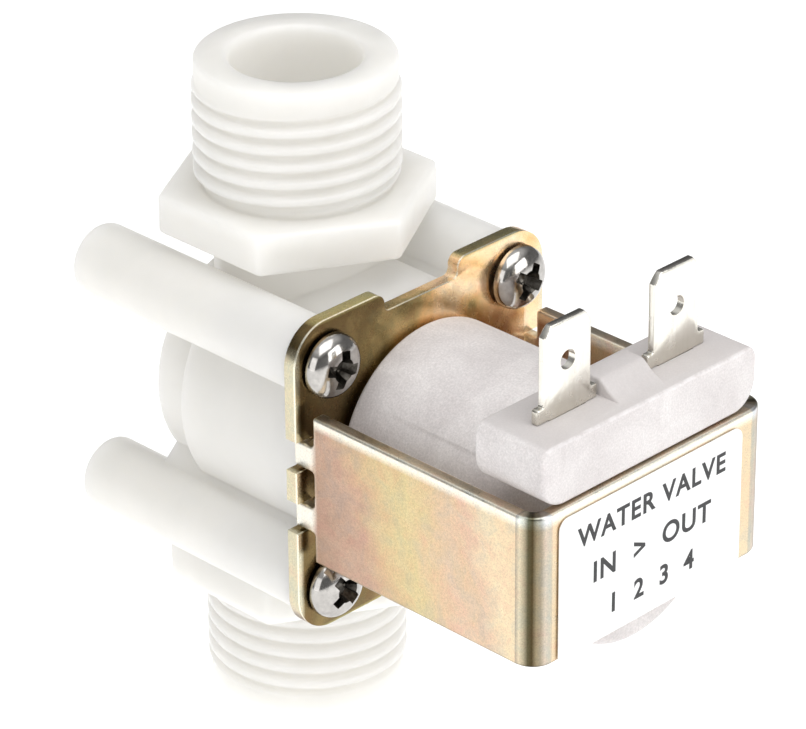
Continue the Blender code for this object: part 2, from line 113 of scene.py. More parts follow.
def arc(cx, cy, r, a0, a1, n):
    return [(cx + r * math.cos(math.radians(a0 + (a1 - a0) * i / n)),
             cy + r * math.sin(math.radians(a0 + (a1 - a0) * i / n))) for i in range(n + 1)]


def rounded(r, t0, t1, f0, f1, n=5):
    """Profile of a solid cylinder whose two rims are rounded by f0 and f1."""
    out = [(0, t0)]
    out += arc(r - f0, t0 + f0, f0, -90, 0, n) if f0 else [(r, t0)]
    out += arc(r - f1, t1 - f1, f1, 0, 90, n) if f1 else [(r, t1)]
    return out + [(0, t1)]


def cyl(name, r, low, high, axis="Y", centre=(0, 0, 0), steps=64, f0=0.0, f1=0.0):
    return lathe(name, rounded(r, low, high, f0, f1), axis, centre, steps)


def bake(obj):
    bpy.context.view_layer.update()
    graph = bpy.context.evaluated_depsgraph_get()
    mesh = bpy.data.meshes.new_from_object(obj.evaluated_get(graph))
    obj.modifiers.clear()
    old = obj.data
    obj.data = mesh
    bpy.data.meshes.remove(old)
    return obj


def combine(obj, others, kind, solver):
    for other in others:
        mod = obj.modifiers.new(kind.lower(), "BOOLEAN")
        mod.operation = kind
        mod.solver = solver
        mod.object = other
    bake(obj)
    for other in others:
        bpy.data.objects.remove(other, do_unlink=True)
    return obj


def join(obj, *others, solver="MANIFOLD"):
    return combine(obj, others, "UNION", solver)


def cut(obj, *others, solver="MANIFOLD"):
    return combine(obj, others, "DIFFERENCE", solver)


def tidy(obj, angle=0.5):
    """Merges the flat scraps that a Boolean leaves."""
    bm = bmesh.new()
    bm.from_mesh(obj.data)
    bmesh.ops.remove_doubles(bm, verts=bm.verts, dist=2e-6)
    bmesh.ops.dissolve_limit(bm, angle_limit=math.radians(angle), use_dissolve_boundaries=False,
                             verts=bm.verts, edges=bm.edges, delimit=set())
    bm.to_mesh(obj.data)
    bm.free()
    return obj


def round_edges(obj, width, segments=3, angle=35, harden=False):
    mod = obj.modifiers.new("round", "BEVEL")
    mod.width = width * MM
    mod.segments = segments
    mod.limit_method = "ANGLE"
    mod.angle_limit = math.radians(angle)
    mod.use_clamp_overlap = True
    mod.miter_outer = "MITER_ARC"
    mod.harden_normals = harden
    return bake(obj)


def smooth(obj, angle=38):
    obj.data.shade_smooth()
    obj.data.set_sharp_from_angle(angle=math.radians(angle))
    return obj


def piece(obj, node, mat, body=HOUSING, replace=True):
    if not any(obj.data.materials):
        obj.data.materials.clear()
        obj.data.materials.append(mat)
    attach(obj, body)
    if replace:
        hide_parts(node)
    return obj


# ------------------------------------------------------------------ materials
class Shader:
    """A Principled material whose varying inputs are fed by object-space noise."""

    def __init__(self, name, metallic=0.0, roughness=0.5, **sockets):
        self.mat = bpy.data.materials.new(name)
        self.mat.use_nodes = True
        self.tree = self.mat.node_tree
        self.bsdf = self.tree.nodes["Principled BSDF"]
        self.bsdf.inputs["Metallic"].default_value = metallic
        self.bsdf.inputs["Roughness"].default_value = roughness
        for key, value in sockets.items():
            self.bsdf.inputs[key.replace("_", " ")].default_value = value
        self.coord = self.tree.nodes.new("ShaderNodeTexCoord").outputs["Object"]

    def link(self, a, b):
        self.tree.links.new(a, b)

    def stretch(self, scale):
        node = self.tree.nodes.new("ShaderNodeMapping")
        node.inputs["Scale"].default_value = scale
        self.link(self.coord, node.inputs["Vector"])
        return node.outputs["Vector"]

    def noise(self, size_mm, detail=2.0, rough=0.5, distortion=0.0, vector=None):
        node = self.tree.nodes.new("ShaderNodeTexNoise")
        node.inputs["Scale"].default_value = 1000.0 / size_mm
        node.inputs["Detail"].default_value = detail
        node.inputs["Roughness"].default_value = rough
        node.inputs["Distortion"].default_value = distortion
        self.link(vector or self.coord, node.inputs["Vector"])
        return node.outputs["Fac"]

    def ramp(self, fac, stops, mode="LINEAR"):
        node = self.tree.nodes.new("ShaderNodeValToRGB")
        node.color_ramp.interpolation = mode
        els = node.color_ramp.elements
        els[0].position, els[1].position = stops[0][0], stops[-1][0]
        els[0].color, els[1].color = (*stops[0][1], 1.0), (*stops[-1][1], 1.0)
        for at, colour in stops[1:-1]:
            els.new(at).color = (*colour, 1.0)
        self.link(fac, node.inputs["Fac"])
        return node.outputs["Color"]

    def map(self, fac, a0, a1, b0, b1, clamp=True):
        node = self.tree.nodes.new("ShaderNodeMapRange")
        node.clamp = clamp
        for key, value in (("From Min", a0), ("From Max", a1), ("To Min", b0), ("To Max", b1)):
            node.inputs[key].default_value = value
        self.link(fac, node.inputs["Value"])
        return node.outputs["Result"]

    def math(self, op, a, b):
        node = self.tree.nodes.new("ShaderNodeMath")
        node.operation = op
        for i, value in enumerate((a, b)):
            if isinstance(value, (int, float)):
                node.inputs[i].default_value = value
            else:
                self.link(value, node.inputs[i])
        return node.outputs["Value"]

    def axis(self, key):
        node = self.tree.nodes.new("ShaderNodeSeparateXYZ")
        self.link(self.coord, node.inputs["Vector"])
        return node.outputs[key]

    def mix(self, fac, a, b, mode="MIX"):
        node = self.tree.nodes.new("ShaderNodeMix")
        node.data_type = "RGBA"
        node.blend_type = mode
        for key, value in ((0, fac), (6, a), (7, b)):
            if isinstance(value, (int, float)):
                node.inputs[key].default_value = value
            elif isinstance(value, tuple):
                node.inputs[key].default_value = (*value, 1.0)
            else:
                self.link(value, node.inputs[key])
        return node.outputs[2]

    def colour(self, socket):
        self.link(socket, self.bsdf.inputs["Base Color"])
        return self

    def rough(self, socket):
        self.link(socket, self.bsdf.inputs["Roughness"])
        return self

    def bump(self, height, strength, distance_mm, soften_mm=0.0):
        node = self.tree.nodes.new("ShaderNodeBump")
        node.inputs["Strength"].default_value = strength
        node.inputs["Distance"].default_value = distance_mm * MM
        self.link(height, node.inputs["Height"])
        if soften_mm:
            bevel = self.tree.nodes.new("ShaderNodeBevel")
            bevel.samples = 4
            bevel.inputs["Radius"].default_value = soften_mm * MM
            self.link(bevel.outputs["Normal"], node.inputs["Normal"])
        self.link(node.outputs["Normal"], self.bsdf.inputs["Normal"])
        return self


def polypropylene():
    # the emission is a painted glow: it lifts the moulding's shaded parts as if light passed through it, under any lamp
    s = Shader("natural_polypropylene_look", roughness=0.36, IOR=1.49, Subsurface_Weight=1.0,
               Subsurface_Radius=(1.0, 0.97, 0.90), Subsurface_Scale=0.008,
               Emission_Color=(1.0, 0.970, 0.920, 1.0), Emission_Strength=0.125)
    cloud = s.noise(9.0, 3.0, 0.55, 0.4)
    s.colour(s.ramp(cloud, [(0.30, (0.632, 0.626, 0.600)), (0.55, (0.660, 0.650, 0.623)), (0.75, (0.688, 0.676, 0.651))]))
    fine = s.noise(0.45, 3.0, 0.6)
    s.rough(s.map(s.noise(3.0, 2.0), 0.3, 0.7, 0.28, 0.42))
    s.bump(fine, 0.10, 0.05, soften_mm=0.65)
    return s.mat


def zinc(name, kind):
    """Yellow chromate on sheet steel: iridescent bands over a fine matt grain, with painted reflections, highlights and
    shade mixed into the colour.
    """
    s = Shader(name, metallic=1.0, roughness=0.34)
    warp = s.noise(7.0, 3.0, 0.55, 0.8)
    if kind == "yoke":
        # colour running from rear to front and up the side plates: partly the chromate's own tint, partly painted
        # reflection
        along = s.map(s.axis("Y"), -0.0185, -0.0470, 0.0, 1.0)
        rise = s.map(s.axis("Z"), -0.0080, 0.0080, -0.5, 0.5)
        f = s.math("ADD", along, s.math("MULTIPLY", s.map(warp, 0.25, 0.75, -1.0, 1.0), 0.13))
        f = s.math("ADD", f, s.math("MULTIPLY", rise, 0.10))
        base = s.ramp(f, [(0.02, (0.50, 0.35, 0.28)), (0.16, (0.58, 0.41, 0.33)), (0.32, (0.70, 0.55, 0.35)),
                          (0.48, (0.74, 0.64, 0.38)), (0.62, (0.76, 0.59, 0.42)), (0.74, (0.76, 0.59, 0.47)),
                          (0.88, (0.88, 0.75, 0.55)), (1.00, (0.86, 0.71, 0.52))])
        base = s.mix(1.0, base, (0.89, 0.87, 0.84), "MULTIPLY")
        # pale sheared rims, bare staked tabs, and the darker stretched skin of the two bends
        # painted highlight along the upper rims, a painted dark line along the lower bevel, painted dark reflection on
        # the flat top and bottom edges, the rear ends and tabs painted pale as a highlight, and a painted reflection
        # round the two bends
        height = s.math("ABSOLUTE", s.axis("Z"), 0.0)
        base = s.mix(s.map(s.axis("Z"), 0.0067, 0.0075, 0.0, 0.9), base, (1.0, 0.97, 0.88))
        base = s.mix(s.map(s.axis("Z"), -0.0077, -0.0079, 0.0, 0.8), base, (0.33, 0.27, 0.18))
        base = s.mix(s.map(height, 0.00801, 0.00805, 0.0, 0.85), base, (0.52, 0.42, 0.31))
        base = s.mix(s.map(s.axis("Y"), -0.0190, -0.0182, 0.0, 0.85), base, (0.96, 0.95, 0.88))
        # the coloured bands round each bend are a painted reflection of the surroundings on the curved sheet
        flat = s.math("ABSOLUTE", s.axis("X"), 0.0)
        turn = s.math("ARCTAN2", s.math("MULTIPLY", s.math("ADD", s.axis("Y"), 0.04526), -1.0),
                      s.math("SUBTRACT", flat, 0.01398))
        bend_reflection = s.ramp(s.map(turn, 0.0, 1.5708, 0.0, 1.0), [(0.00, (0.55, 0.57, 0.65)), (0.118, (0.87, 0.95, 1.00)),
                      (0.24, (0.53, 0.58, 0.60)), (0.35, (0.134, 0.148, 0.118)), (0.46, (0.095, 0.087, 0.058)),
                      (0.57, (0.38, 0.39, 0.36)), (0.67, (0.43, 0.46, 0.49)), (0.79, (0.76, 0.82, 0.97)),
                      (0.92, (0.69, 0.81, 0.98)), (1.00, (0.80, 0.85, 0.92))])
        at_bend = s.math("MULTIPLY", s.math("GREATER_THAN", flat, 0.01398), s.math("LESS_THAN", s.axis("Y"), -0.04526))
        base = s.mix(at_bend, base, s.mix(1.0, base, bend_reflection, "MULTIPLY"))
    else:
        # darker towards -X and peach towards +X: painted reflection on the polished plate, over the chromate's own
        # noisy tone
        across_reflection = s.math("ADD", s.map(s.axis("X"), -0.0105, -0.0035, -0.17, 0.15), s.map(s.axis("X"), -0.0040, 0.0150, 0.0, 0.12))
        f = s.math("ADD", s.math("MULTIPLY", warp, 0.85), across_reflection)
        base = s.ramp(f, [(0.30, (0.19, 0.135, 0.06)), (0.42, (0.27, 0.205, 0.09)), (0.50, (0.50, 0.38, 0.18)),
                          (0.57, (0.82, 0.54, 0.26)), (0.66, (0.98, 0.70, 0.43)), (0.82, (1.00, 0.82, 0.60))])
        side = s.math("ABSOLUTE", s.axis("X"), 0.0)
        height = s.math("ABSOLUTE", s.axis("Z"), 0.0)
        # painted highlight on the side edges, painted dark reflection on the top and bottom edges, and a painted
        # highlight along the front-face rim
        base = s.mix(s.map(side, 0.01655, 0.01705, 0.0, 0.8), base, (0.76, 0.71, 0.54))
        base = s.mix(s.map(height, 0.01655, 0.01682, 0.0, 0.8), base, (0.42, 0.38, 0.17))
        rim = s.math("MULTIPLY", s.map(s.axis("Y"), -0.01713, -0.01709, 0.0, 0.85), s.map(s.axis("Y"), -0.01685, -0.01690, 0.0, 1.0))
        base = s.mix(rim, base, (1.0, 0.95, 0.80))
    blotch = s.ramp(s.noise(2.2, 3.0, 0.6, 0.5), [(0.35, (0.90, 0.93, 0.94)), (0.50, (1.0, 0.98, 0.93)), (0.68, (1.0, 0.90, 0.88))])
    base = s.mix(1.0, base, blotch, "MULTIPLY")
    grain = s.noise(0.16, 2.0, 0.7)
    speck = s.ramp(grain, [(0.30, (0.78, 0.78, 0.78)), (0.50, (1.0, 1.0, 1.0)), (0.72, (1.22, 1.20, 1.14))])
    s.colour(s.mix(0.75, base, speck, "MULTIPLY"))
    low, high = (0.26, 0.40) if kind == "yoke" else (0.20, 0.32)
    s.rough(s.map(s.noise(1.4, 3.0, 0.6), 0.3, 0.7, low, high))
    s.bump(grain, 0.22 if kind == "yoke" else 0.12, 0.03)
    return s.mat


def grey_pbt():
    s = Shader("grey_white_pbt_look", roughness=0.62, IOR=1.5, Subsurface_Weight=0.12,
               Subsurface_Radius=(1.0, 0.85, 0.8), Subsurface_Scale=0.0006)
    cloud = s.noise(5.0, 4.0, 0.6, 0.5)
    base = s.ramp(cloud, [(0.30, (0.645, 0.606, 0.600)), (0.52, (0.720, 0.684, 0.676)), (0.74, (0.780, 0.750, 0.740))])
    grain = s.noise(0.22, 3.0, 0.7)
    speck = s.ramp(grain, [(0.30, (0.84, 0.84, 0.84)), (0.52, (1.0, 1.0, 1.0)), (0.70, (1.18, 1.18, 1.19))])
    base = s.mix(0.8, base, speck, "MULTIPLY")
    # top faces painted darker as painted shade, and the moulded edge in front of them carries a patchy painted
    # highlight
    base = s.mix(s.map(s.axis("Z"), 0.01445, 0.01465, 0.0, 0.7), base, (0.565, 0.53, 0.52))
    edge = s.math("MULTIPLY", s.map(s.axis("Z"), 0.01432, 0.01446, 0.0, 1.0), s.map(s.axis("Y"), -0.04696, -0.04708, 0.0, 1.0))
    patchy_edge_highlight = s.map(s.noise(1.3, 3.0, 0.6), 0.36, 0.60, 0.0, 0.45)
    base = s.mix(s.math("MULTIPLY", edge, patchy_edge_highlight), base, (0.90, 0.88, 0.88))
    s.colour(base)
    s.rough(s.map(grain, 0.3, 0.7, 0.50, 0.72))
    s.bump(grain, 0.45, 0.05, soften_mm=0.15)
    return s.mat


def tin():
    s = Shader("tinned_brass_look", metallic=1.0, roughness=0.30)
    streak = s.noise(0.5, 3.0, 0.6, vector=s.stretch((1.0, 1.0, 0.12)))
    base = s.ramp(streak, [(0.30, (0.82, 0.79, 0.71)), (0.55, (0.885, 0.86, 0.79)), (0.75, (0.93, 0.915, 0.85))])
    # painted dark reflection along the sheared top edge, and painted shade just over the shoulders
    base = s.mix(s.map(s.axis("Z"), 0.02438, 0.02446, 0.0, 0.85), base, (0.20, 0.19, 0.18))
    base = s.mix(s.map(s.axis("Z"), 0.0176, 0.0160, 0.0, 0.45), base, (0.50, 0.47, 0.40))
    s.colour(base)
    s.rough(s.map(s.noise(1.2, 3.0), 0.3, 0.7, 0.17, 0.30))
    s.bump(streak, 0.10, 0.015)
    return s.mat


def nickel():
    s = Shader("nickel_look", metallic=1.0, roughness=0.14)
    s.colour(s.ramp(s.noise(0.8, 3.0, 0.6), [(0.30, (0.40, 0.385, 0.365)), (0.60, (0.52, 0.50, 0.475)), (0.80, (0.60, 0.58, 0.55))]))
    s.rough(s.map(s.noise(0.5, 3.0, 0.6), 0.35, 0.7, 0.10, 0.22))
    s.bump(s.noise(0.25, 2.0), 0.05, 0.01)
    return s.mat


def label_paper():
    s = Shader("label_look", roughness=0.28, IOR=1.5, Coat_Weight=0.4, Coat_Roughness=0.12)
    s.colour(s.ramp(s.noise(4.0, 3.0), [(0.3, (0.90, 0.905, 0.905)), (0.7, (0.94, 0.94, 0.94))]))
    s.bump(s.noise(1.8, 2.0), 0.10, 0.02)
    return s.mat


def ink():
    s = Shader("lettering_look", roughness=0.45)
    s.colour(s.ramp(s.noise(0.3, 2.0), [(0.3, (0.016, 0.016, 0.017)), (0.7, (0.032, 0.032, 0.034))]))
    s.bump(s.noise(0.2, 2.0), 0.05, 0.005)
    return s.mat


def plain(name, dark, light, metallic=0.0, low=0.35, high=0.5, size=1.5, bump=0.1, **sockets):
    s = Shader(name, metallic=metallic, roughness=low, **sockets)
    n = s.noise(size, 3.0, 0.6)
    s.colour(s.ramp(n, [(0.3, dark), (0.7, light)]))
    s.rough(s.map(s.noise(size * 0.6, 2.0), 0.3, 0.7, low, high))
    s.bump(s.noise(size * 0.3, 2.0), bump, 0.02)
    return s.mat


PP = polypropylene()
ZINC_YOKE = zinc("yellow_zinc_yoke_look", "yoke")
ZINC_PLATE = zinc("yellow_zinc_plate_look", "plate")
PBT = grey_pbt()
TIN = tin()
NICKEL = nickel()
# dark nickel for the inside of the screw recesses: painted shade
RECESS_SHADE = plain("nickel_recess_shade_look", (0.045, 0.038, 0.030), (0.15, 0.14, 0.125), 1.0, 0.28, 0.45, 0.5, 0.1)
PAPER = label_paper()
INK = ink()
RUBBER = plain("black_epdm_look", (0.020, 0.020, 0.021), (0.040, 0.040, 0.041), 0.0, 0.55, 0.75, 2.0, 0.15)
IRON = plain("magnetic_stainless_look", (0.46, 0.46, 0.47), (0.60, 0.60, 0.61), 1.0, 0.24, 0.36, 1.0)
NYLON = plain("white_nylon_look", (0.78, 0.78, 0.74), (0.88, 0.88, 0.85), 0.0, 0.35, 0.5, 3.0)
COPPER = plain("enamelled_copper_look", (0.50, 0.17, 0.06), (0.70, 0.27, 0.10), 1.0, 0.25, 0.38, 0.4, 0.2)
TAPE = plain("yellow_tape_look", (0.72, 0.50, 0.06), (0.84, 0.62, 0.12), 0.0, 0.35, 0.5, 3.0)


# ------------------------------------------------------------------ valve body
PITCH = 1.814
CREST, CORE = 10.4, 9.65
LEAD, LEAD_R = 2.6, 10.1
PORT_END, BORE = 35.3, 6.65
HEX_R, HEX_OUT, HEX_IN = 24.8 / math.sqrt(3), 21.85, 17.6


def step(x):
    x = min(max(x, 0.0), 1.0)
    return x * x * (3 - 2 * x)


def threaded_end(name, sign, around=128, down=112):
    """A solid stub with a real helical ridge, rounded at its root and crest."""
    z0, z1 = HEX_IN + 1.3, PORT_END
    rings = [z0, HEX_OUT - 0.2]
    rings += [HEX_OUT - 0.1 + (z1 - 0.02 - HEX_OUT + 0.1) * i / down for i in range(down + 1)]
    bm = bmesh.new()
    rows = []
    for z in rings:
        row = []
        for k in range(around):
            a = 2 * math.pi * k / around
            phase = ((z - HEX_OUT) / PITCH - k / around) % 1.0
            wave = 0.5 - 0.5 * math.cos(2 * math.pi * phase)
            ridge = step((wave - 0.18) / 0.62)
            rise = step((z - HEX_OUT - 0.35) / 0.9)
            r = CORE + (CREST - CORE) * ridge * rise
            # the ridge runs out into a plain lead, which ends in a small rounded rim
            fade = step((z - (PORT_END - LEAD - 0.5)) / 0.7)
            r = r + (LEAD_R - r) * fade
            over = z - (PORT_END - 0.35)
            if over > 0:
                r = LEAD_R - 0.35 + math.sqrt(max(0.35 ** 2 - over ** 2, 0.0))
            row.append(bm.verts.new(Vector((r * math.cos(a), r * math.sin(a), sign * z)) * MM))
        rows.append(row)
    for low, high in zip(rows, rows[1:]):
        for k in range(around):
            n = (k + 1) % around
            bm.faces.new((low[k], low[n], high[n], high[k]))
    bm.faces.new(rows[0])
    bm.faces.new(rows[-1])
    return finish(bm, name)


def bore_cutter(name, r, sign, deep):
    """Pipe bore with a softly rounded mouth."""
    f = 0.55
    mouth = [(r + f - f * math.cos(math.radians(a)), PORT_END - f + f * math.sin(math.radians(a)))
             for a in (0, 18, 36, 54, 72, 90)]
    prof = [(0, deep), (r, deep)] + mouth + [(r + f, PORT_END + 1), (0, PORT_END + 1)]
    return lathe(name, [(a, sign * b) for a, b in prof], "Z", steps=96)


def make_body():
    drum = [(0, -16.64), (14.2, -16.64)] + arc(14.2 - 0.8, 3.2 - 0.8, 0.8, 0, 90, 6)
    drum += arc(12.6 + 0.3, 3.2 + 0.3, 0.3, -90, -180, 4) + arc(12.6 - 1.0, 8.5 - 1.0, 1.0, 0, 90, 6)
    body = lathe("body", drum + [(0, 8.5)], "Y", steps=128)
    adds = []
    for sign in (1, -1):
        adds.append(threaded_end("port", sign))
        adds.append(cyl("neck", 8.6, min(sign * 8, sign * 20), max(sign * 8, sign * 20), "Z", steps=96))
        hexagon = prism("hex", [(HEX_R * math.sin(math.radians(60 * i)), HEX_R * math.cos(math.radians(60 * i)))
                                for i in range(6)], "Z", *sorted((sign * HEX_IN, sign * HEX_OUT)))
        adds.append(round_edges(hexagon, 0.45, 3, 40))
    for sx in (1, -1):
        for sz in (1, -1):
            adds.append(cyl("post", 3.85, -17.1 - 0.1 * sx - 0.04 * sz, 15.5, "Y", (sx * 13.0, 0, sz * 12.25), 72, 0, 0.6))
    span = math.hypot(13.0, 12.25)
    for sign in (1, -1):
        dx, dz = 13.0 / span, sign * 12.25 / span
        nx, nz = -dz * 2.4, dx * 2.4
        adds.append(prism("web", [(-dx * span + nx, -dz * span + nz), (dx * span + nx, dz * span + nz),
                                  (dx * span - nx, dz * span - nz), (-dx * span - nx, -dz * span - nz)],
                          "Y", -17.6 - 0.2 * sign, 7.6 - 0.05 * sign))
    join(body, *adds)
    cut(body, box("trim", -30, 30, -20.6, -15.64, -25, 25))
    cuts = [
        cyl("pocket", 12.0, -16.6, -9.9, steps=96),
        lathe("ring", [(6, -10.9), (10, -10.9), (10, -8.1), (6, -8.1)], "Y", steps=96),
        cyl("seat_bore", 4.6, -11.9, 0.0, steps=72),
        bore_cutter("inlet", BORE, 1, 7.4),
        bore_cutter("outlet", BORE, -1, -2.2),
        box("inlet_way", -4.4, 4.4, -8.7, -2.5, 6.5, 9.7),
    ]
    for sx in (1, -1):
        for sz in (1, -1):
            cuts.append(cyl("hole", 1.85, -16.6, -4.0, "Y", (sx * 13.0, 0, sz * 12.25), 32))
    cut(body, *cuts)
    return smooth(tidy(body, 0.1), 40)


piece(make_body(), "valve_body", PP).name = "body_moulding"


# ------------------------------------------------------------------ bracket
def make_base_plate():
    hx, hz, r, q, e, f, rz = 17.25, 16.85, 4.2, 5.15, 1.1, 0.7, 14.75
    top = (arc(hx - r, hz - r, r, 0, 90, 18) + arc(q + e, hz - e, e, 90, 180, 8)
           + arc(q - f, rz + f, f, 0, -90, 6) + arc(-q + f, rz + f, f, -90, -180, 6)
           + arc(-q - e, hz - e, e, 0, 90, 8) + arc(-hx + r, hz - r, r, 90, 180, 18))
    plate = prism("plate", top + [(-a, -b) for a, b in top], "Y", -17.14, -15.64)
    cuts = [cyl("hole", 5.5, -18.5, -14.5, steps=96)]
    inner = 16.42 - 1.5 - 0.3
    for sx in (1, -1):
        for sz in (1, -1):
            x0, x1 = sorted((sx * inner, sx * (hx + 2)))
            z0, z1 = sorted((sz * (1.98 - 0.3), sz * (4.78 + 0.3)))
            cuts.append(box("notch", x0, x1, -18.5, -14.5, z0, z1))
            cuts.append(cyl("screw_hole", 1.95, -18.5, -14.5, "Y", (sx * 13.0, 0, sz * 12.25), 48))
    cut(plate, *cuts)
    return smooth(round_edges(tidy(plate), 0.26, 3, 40), 50)


def make_yoke():
    hx, t, r, front, rear = 16.42, 1.5, 2.44, -47.7, -18.45
    outer = arc(-hx + r, front + r, r, 180, 270, 16) + arc(hx - r, front + r, r, 270, 360, 16)
    ri = r - t
    inner = arc(hx - r, front + r, ri, 360, 270, 12) + arc(-hx + r, front + r, ri, 270, 180, 12)
    outline = [(-hx, rear)] + outer + [(hx, rear), (hx - t, rear)] + inner + [(-hx + t, rear)]
    yoke = prism("yoke", outline, "Z", -8.05, 8.05)
    adds = []
    for sx in (1, -1):
        for sz in (1, -1):
            x0, x1 = sorted((sx * (hx - t), sx * hx))
            z0, z1 = sorted((sz * 1.98, sz * 4.78))
            adds.append(box("tab", x0, x1, rear - 0.5, -15.86, z0, z1))
    join(yoke, *adds, solver="EXACT")
    return smooth(round_edges(tidy(yoke, 0.3), 0.32, 4, 40), 45)


piece(make_base_plate(), "base_plate", ZINC_PLATE).name = "bracket_base"
piece(make_yoke(), "yoke_frame", ZINC_YOKE).name = "bracket_yoke"


# ------------------------------------------------------------------ coil
def make_overmould():
    f = 0.7
    shell = lathe("shell", rounded(11.95, -45.9, -17.5, f, f, 6), "Y", steps=144)
    h, low, top = 14.9, 3.0, 1.3
    outline = (arc(h - low, 8.2 + low, low, -90, 0, 14) + arc(h - top, 14.7 - top, top, 0, 90, 10)
               + arc(-h + top, 14.7 - top, top, 90, 180, 10) + arc(-h + low, 8.2 + low, low, 180, 270, 14))
    block = round_edges(prism("block", outline, "Y", -47.3, -38.5), 0.42, 4, 60)
    neck = box("neck", -9.5, 9.5, -45.8, -37.9, 3.0, 12.7)
    wall = [(-40.9, 13.9), (-40.9, 16.1)] + arc(-41.2, 16.1, 0.3, 180, 90, 3)[1:]
    wall = [(-40.9, 13.9), (-40.9, 16.15), (-41.0, 16.33), (-41.2, 16.4)]
    wall += [(-43.0 - 0.6 * t, 16.4 - 0.2 * t * t) for t in (0, 0.33, 0.66, 1.0)]
    wall += [(-44.0, 15.88), (-44.4, 15.52), (-45.0, 15.16), (-45.6, 14.9), (-46.4, 14.6), (-46.4, 13.9)]
    barrier = round_edges(prism("barrier", wall, "X", -3.1, 3.1), 0.25, 3, 60)
    join(shell, neck, block, barrier)
    cuts = [cyl("cavity", 10.7, -45.5, -17.9, steps=96), cyl("through", 7.7, -46.9, -16.5, steps=96)]
    for x in (-7.55, 7.55):
        cuts.append(box("slot", x - 2.53, x + 2.53, -43.47, -42.61, 11.2, 17.7))
        cuts.append(cyl("wire_way", 0.62, 6.6, 11.6, "Z", (x, -43.04, 0), 24))
    cut(shell, *cuts)
    return smooth(tidy(shell, 0.1), 42)


piece(make_overmould(), "coil_overmould", PBT).name = "coil_moulding"


# ------------------------------------------------------------------ terminals
def make_terminal(side, x):
    b, sh, tl, c, top = 3.15, 4.05, 2.5, 1.1, 24.5
    outline = [(x - tl, 11.6), (x + tl, 11.6), (x + tl, 14.74), (x + sh, 14.74)]
    outline += arc(x + sh - 0.3, 16.25 - 0.3, 0.3, 0, 90, 4) + arc(x + b + 0.25, 16.25 + 0.25, 0.25, 270, 180, 4)
    outline += [(x + b, top - c), (x + b - c * 0.85, top), (x - b + c * 0.85, top), (x - b, top - c)]
    outline += arc(x - b - 0.25, 16.25 + 0.25, 0.25, 0, -90, 4) + arc(x - sh + 0.3, 16.25 - 0.3, 0.3, 90, 180, 4)
    outline += [(x - sh, 14.74), (x - tl, 14.74)]
    blade = prism("blade", outline, "Y", -43.44, -42.64)
    # the tip is coined to a slight wedge on both faces
    wedge = [(-43.9, 24.0), (-43.44, 24.0), (-43.30, 24.9), (-43.9, 24.9)]
    back = [(-42.2, 24.0), (-42.2, 24.9), (-42.78, 24.9), (-42.64, 24.0)]
    cut(blade, prism("wedge_a", wedge, "X", x - 4, x + 4), prism("wedge_b", back, "X", x - 4, x + 4), solver="EXACT")
    round_edges(tidy(blade, 0.3), 0.11, 3, 40)
    cut(blade, cyl("eye", 1.0, -44.4, -41.4, "Y", (x, 0, 20.2), 64), solver="EXACT")
    return smooth(blade, 45)


for side, x in (("left", -7.55), ("right", 7.55)):
    piece(make_terminal(side, x), "terminal_" + side, TIN).name = "blade_" + side


# ------------------------------------------------------------------ screws
def tapered_bar(name, half_len, half_wid, deep_len, deep_wid, y0, y1):
    bm = bmesh.new()
    bmesh.ops.create_cube(bm, size=2.0)
    for v in bm.verts:
        top = v.co.y < 0
        v.co = Vector((v.co.x * (half_len if top else deep_len), y0 if top else y1,
                       v.co.z * (half_wid if top else deep_wid))) * MM
    return finish(bm, name)


def make_screw(x, z, turn):
    under, h, r = -17.44, 2.2, 3.35
    face = under - h
    prof = [(0, face)]
    for i in range(1, 15):
        a = math.radians(90 * i / 14)
        prof.append((r * math.sin(a) ** 0.92, face + (h - 0.25) * (1 - math.cos(a) ** 0.85)))
    prof += [(r, under - 0.15), (r - 0.12, under), (1.55, under)]
    # coarse self-tapping thread
    y = under + 0.6
    while y < -6.8:
        prof += [(1.28, y), (1.55, y + 0.32), (1.55, y + 0.40), (1.28, y + 0.72)]
        y += 1.1
    prof += [(1.2, -6.5), (0.3, -5.0), (0, -5.0)]
    screw = lathe("screw", prof, "Y", steps=72)
    top, deep = face - 0.6, face + 1.45
    bars = []
    for k in range(2):
        bar = tapered_bar("bar", 2.65, 0.66, 1.05, 0.40, top, deep)
        bar.data.transform(Matrix.Rotation(math.radians(90 * k), 4, "Y"))
        bars.append(bar)
    cone = lathe("cone", [(0, face - 0.6), (1.55, face - 0.6), (0.75, face + 1.3), (0, face + 1.8)], "Y", steps=32)
    cut(screw, bars[0], bars[1], cone)
    # faces of the recess get a dark lining that is painted shade
    screw.data.materials.clear()
    screw.data.materials.append(NICKEL)
    screw.data.materials.append(RECESS_SHADE)
    for poly in screw.data.polygons:
        c = poly.center / MM
        rad = math.hypot(c.x, c.z)
        sunk = c.y - face - (h - 0.25) * (1 - math.cos(math.asin(min(rad / r, 1.0)))) > 0.10
        if rad < 2.3 and sunk and c.y < under - 0.05:
            poly.material_index = 1
    screw.data.transform(Matrix.Translation(Vector((x, 0, z)) * MM) @ Matrix.Rotation(math.radians(turn), 4, "Y"))
    return smooth(screw, 32)


for name, x, z, turn in (("upper_left", -13.0, 12.25, 14), ("upper_right", 13.0, 12.25, 33),
                         ("lower_left", -13.0, -12.25, 52), ("lower_right", 13.0, -12.25, 71)):
    piece(make_screw(x, z, turn), "screw_" + name, NICKEL).name = "pan_head_" + name


# ------------------------------------------------------------------ label
def make_label():
    x0, x1, z0, z1, c = -13.3, 12.4, -8.0, 7.1, 1.2
    outline = (arc(x1 - c, z1 - c, c, 0, 90, 8) + arc(x0 + c, z1 - c, c, 90, 180, 8)
               + [(x0, z0), (x1, z0)])
    return smooth(round_edges(prism("sticker", outline, "Y", -47.98, -47.8), 0.05, 2, 40), 45)


